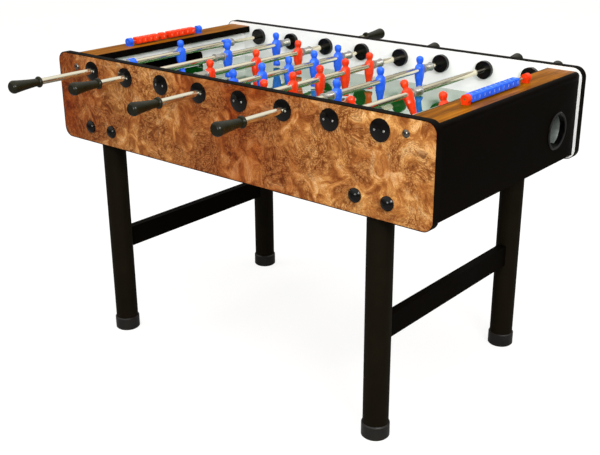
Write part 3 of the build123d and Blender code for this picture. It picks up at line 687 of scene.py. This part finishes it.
def score_cubes(node, body, finish, count, first):
    """A counter's sliding cubes, numbered on top and on both ends."""
    low, high = corners(node)
    size = Vector((high.x - low.x, (high.y - low.y) / count, high.z - low.z))
    block = bmesh.new()
    bmesh.ops.create_cube(block, size=1.0)
    bmesh.ops.scale(block, vec=size - Vector((0, CUBE_GAP, 0)), verts=block.verts)
    rounded(block, block.edges[:], CUBE_EDGE, 3)
    block = shape_of(block)
    # turn about Z, rise about X and place on the cube, of the numbers on its top and its ends
    faces = [(90, 0, (0, 0, size.z / 2)), (90, 90, (size.x / 2, 0, 0)),
             (-90, 90, (-size.x / 2, 0, 0))]
    cubes, numbers = bmesh.new(), bmesh.new()
    for i in range(count):
        centre = Vector(((low.x + high.x) / 2, low.y + size.y * (i + 0.5), (low.z + high.z) / 2))
        stamp(cubes, block, Matrix.Translation(centre))
        digits = digits_shape(str(first + i))
        for turn, rise, offset in faces:
            aim = (Matrix.Rotation(math.radians(turn), 4, "Z")
                   @ Matrix.Rotation(math.radians(rise), 4, "X"))
            stamp(numbers, digits, Matrix.Translation(centre + Vector(offset)) @ aim)
        bpy.data.meshes.remove(digits)
    bpy.data.meshes.remove(block)
    piece(f"{node}_numbered", body, {finish: cubes, "digit_" + finish: numbers}, node, sharp=35)


score_cubes("counter_cubes_left_near", "counter_left_near", "red", 4, 1)
score_cubes("counter_cubes_left_middle", "counter_left_middle", "red", 1, 5)
score_cubes("counter_cubes_left_far", "counter_left_far", "red", 5, 6)
score_cubes("counter_cubes_right", "counter_right", "blue", 10, 1)


# ---------------------------------------------------------------- goal surrounds
END_WALL = 12.0                                   # thickness of the inner end walls
GOAL_HALF, GOAL_HEIGHT = 133.0, 50.0
RIM_HALF, RIM_HEIGHT, RIM_CORNER = 147.0, 56.0, 28.0
RIM_THICKNESS, RIM_EDGE = 2.0, 0.7
GOAL_LINING = 0.8                                 # thickness of the lining in the opening
RIM_LIFT = 0.1                                    # above the glass


def arch(bm, outer, inner, near, far, corner=0.0):
    """Upturned U between two half widths and heights, from near to far along X.

    Gives back the edges at its far end.
    """
    (half, height), (gap, clear) = outer, inner
    outline = [(-half, 0), (-half, height), (half, height), (half, 0),
               (gap, 0), (gap, clear), (-gap, clear), (-gap, 0)]
    verts = [bm.verts.new((near, across, up)) for across, up in outline]
    bm.faces.new(verts)
    if corner:
        rounded(bm, verts[1:3], corner, 10, affect="VERTICES")
    grown = bmesh.ops.extrude_face_region(bm, geom=bm.faces[:])["geom"]
    front = [part for part in grown if isinstance(part, bmesh.types.BMVert)]
    bmesh.ops.translate(bm, verts=front, vec=(far - near, 0, 0))
    return [edge for edge in bm.edges if all(vert in front for vert in edge.verts)]


def goal_surrounds():
    """Black frame round each goal: a rim with rounded top corners, and a lining in the wall."""
    wall = corners("end_walls")[1].x - END_WALL
    floor = corners("playfield_glass")[1].z + RIM_LIFT
    rim, lining = bmesh.new(), bmesh.new()
    edges = arch(rim, (RIM_HALF, RIM_HEIGHT), (GOAL_HALF, GOAL_HEIGHT),
                 wall, wall - RIM_THICKNESS, RIM_CORNER)
    rounded(rim, edges, RIM_EDGE, 2)
    arch(lining, (GOAL_HALF, GOAL_HEIGHT), (GOAL_HALF - GOAL_LINING, GOAL_HEIGHT - GOAL_LINING),
         wall + END_WALL, wall - RIM_THICKNESS + RIM_EDGE)
    frames = bmesh.new()
    for half in (shape_of(rim), shape_of(lining)):
        for turn in (0, math.pi):
            stamp(frames, half, Matrix.Translation((0, 0, floor)) @ Matrix.Rotation(turn, 4, "Z"))
        bpy.data.meshes.remove(half)
    piece("goal_surrounds", "cabinet", {"edging": frames})


goal_surrounds()


# ---------------------------------------------------------------- ball cup
LINING_RADIUS, LINING_THICKNESS, LINING_EDGE = 44.2, 1.0, 0.3
LINING_AT, LINING_BACK = 17.0, 13.0       # behind the cup's rim, and in front of its back
LINING_HALF = 68.0                        # degrees above and below the middle
LINING_STEPS = 48


def cup_lining():
    """Curved guide plate on the far side of the ball cup, where the ball comes to rest."""
    low, high = corners("ball_cup")
    centre = Vector((0, (low.y + high.y) / 2, (low.z + high.z) / 2))
    bm = bmesh.new()
    start, end = low.x + LINING_BACK, high.x - LINING_AT
    inner = LINING_RADIUS - LINING_THICKNESS
    outline = [(start, inner), (end - LINING_EDGE, inner), (end, inner + LINING_EDGE),
               (end, LINING_RADIUS), (start, LINING_RADIUS)]
    verts = [bm.verts.new(centre + Vector((along, radius, 0))) for along, radius in outline]
    edges = [bm.edges.new(pair) for pair in zip(verts, verts[1:] + verts[:1])]
    bmesh.ops.rotate(bm, verts=verts, cent=centre,
                     matrix=Matrix.Rotation(math.radians(-LINING_HALF), 3, "X"))
    bmesh.ops.spin(bm, geom=verts + edges, cent=centre, axis=(1, 0, 0),
                   angle=math.radians(2 * LINING_HALF), steps=LINING_STEPS)
    fill_ends(bm)
    piece("cup_lining", "cabinet", {"sheet": bm})


cup_lining()


# ---------------------------------------------------------------- bearing screws
SCREW_OFFSET, SCREW_RADIUS, SCREW_HEIGHT, SCREW_SIDES = 13.3, 3.0, 1.6, 20
SCREW_SEAT, SCREW_ROOT = 5.0, 0.5         # out from the panel's face, and sunk below the seat


def bearing_screws():
    """Two small pan-head screws in each outer bearing, left and right of the rod."""
    head = bmesh.new()
    outline = [(SCREW_ROOT, SCREW_RADIUS), (-0.6 * SCREW_HEIGHT, SCREW_RADIUS),
               (-0.9 * SCREW_HEIGHT, 0.75 * SCREW_RADIUS), (-SCREW_HEIGHT, 0.4 * SCREW_RADIUS),
               (-SCREW_HEIGHT, 0.0)]
    spun(head, outline, (0, 0, 0), SCREW_SIDES)
    fill_ends(head)
    head = shape_of(head)
    screws = bmesh.new()
    reach = abs(corners("front_panel")[0].y) + SCREW_SEAT
    for number in RODS:
        axis = rod_line(number)[0]
        for side in (-1, 1):
            turn = Matrix.Rotation(0 if side < 0 else math.pi, 4, "Z")
            for offset in (-SCREW_OFFSET, SCREW_OFFSET):
                place = Vector((axis.x + offset, side * reach, axis.z))
                stamp(screws, head, Matrix.Translation(place) @ turn)
    bpy.data.meshes.remove(head)
    piece("bearing_screws", "cabinet", {"spring": screws})


bearing_screws()


# ---------------------------------------------------------------- studio
WHITE = (1.0, 1.0, 1.0, 1.0)
SKY_IN_MIRRORS, FLOOR_IN_MIRRORS = 0.08, 0.05     # shares of the white that mirrors show
FLOOR_RADIUS, FLOOR_LIFT = 14, 0.83               # metres, and the emission that whitens it


def seen_directly(tree, glossy):
    """1 for camera and transmission rays, a share of it for glossy rays and 0 for the rest."""
    path = add(tree, "LightPath").outputs
    direct = maths(tree, "MAXIMUM", path["Is Camera Ray"], path["Is Transmission Ray"])
    return maths(tree, "MAXIMUM", direct, maths(tree, "MULTIPLY", path["Is Glossy Ray"], glossy))


def white_sky():
    """White background for the camera; light and mirrors get a sky that is dark at the horizon."""
    world = bpy.data.worlds.new("studio")
    world.use_nodes = True
    tree = world.node_tree
    up = add(tree, "SeparateXYZ", {0: add(tree, "TexCoord").outputs["Generated"]}).outputs["Z"]
    rise = add(tree, "MapRange", {"Value": up, "From Min": -1.0, "From Max": 1.0})
    sky = add(tree, "ValToRGB", {"Fac": rise.outputs["Result"]},
              stops=[(0.0, "#24221f"), (1.0, "#ffffff"), (0.53, "#34322f"), (0.62, "#807d76"),
                     (0.73, "#c4c2bc"), (0.86, "#ffffff")])
    colour = mix(tree, seen_directly(tree, SKY_IN_MIRRORS), sky.outputs["Color"], WHITE)
    tree.links.new(colour, tree.nodes["Background"].inputs["Color"])
    scene.world = world


def pale_floor():
    """Matt floor that fades into the background and keeps a soft shadow."""
    bm = bmesh.new()
    bmesh.ops.create_circle(bm, cap_ends=True, segments=64, radius=FLOOR_RADIUS)
    floor = bpy.data.objects.new("floor", shape_of(bm))
    scene.collection.objects.link(floor)
    material, tree, shader, place = new_material("matt_painted_floor")
    worn = add(tree, "TexNoise", {"Vector": place, "Scale": per_mm(900)})
    tone = add(tree, "ValToRGB", {"Fac": worn.outputs["Fac"]},
               stops=[(0.3, "#7e7c79"), (0.7, "#82807d")])
    tree.links.new(tone.outputs["Color"], shader.inputs["Base Color"])
    lift = maths(tree, "MULTIPLY", seen_directly(tree, FLOOR_IN_MIRRORS), FLOOR_LIFT)
    tree.links.new(lift, shader.inputs["Emission Strength"])
    surface(shader, Roughness=0.9, Specular_IOR_Level=0.0, Emission_Color=WHITE)
    floor.data.materials.append(material)


white_sky()
pale_floor()
for lamp in LAMPS:
    soft_lamp(*lamp)
place_camera()
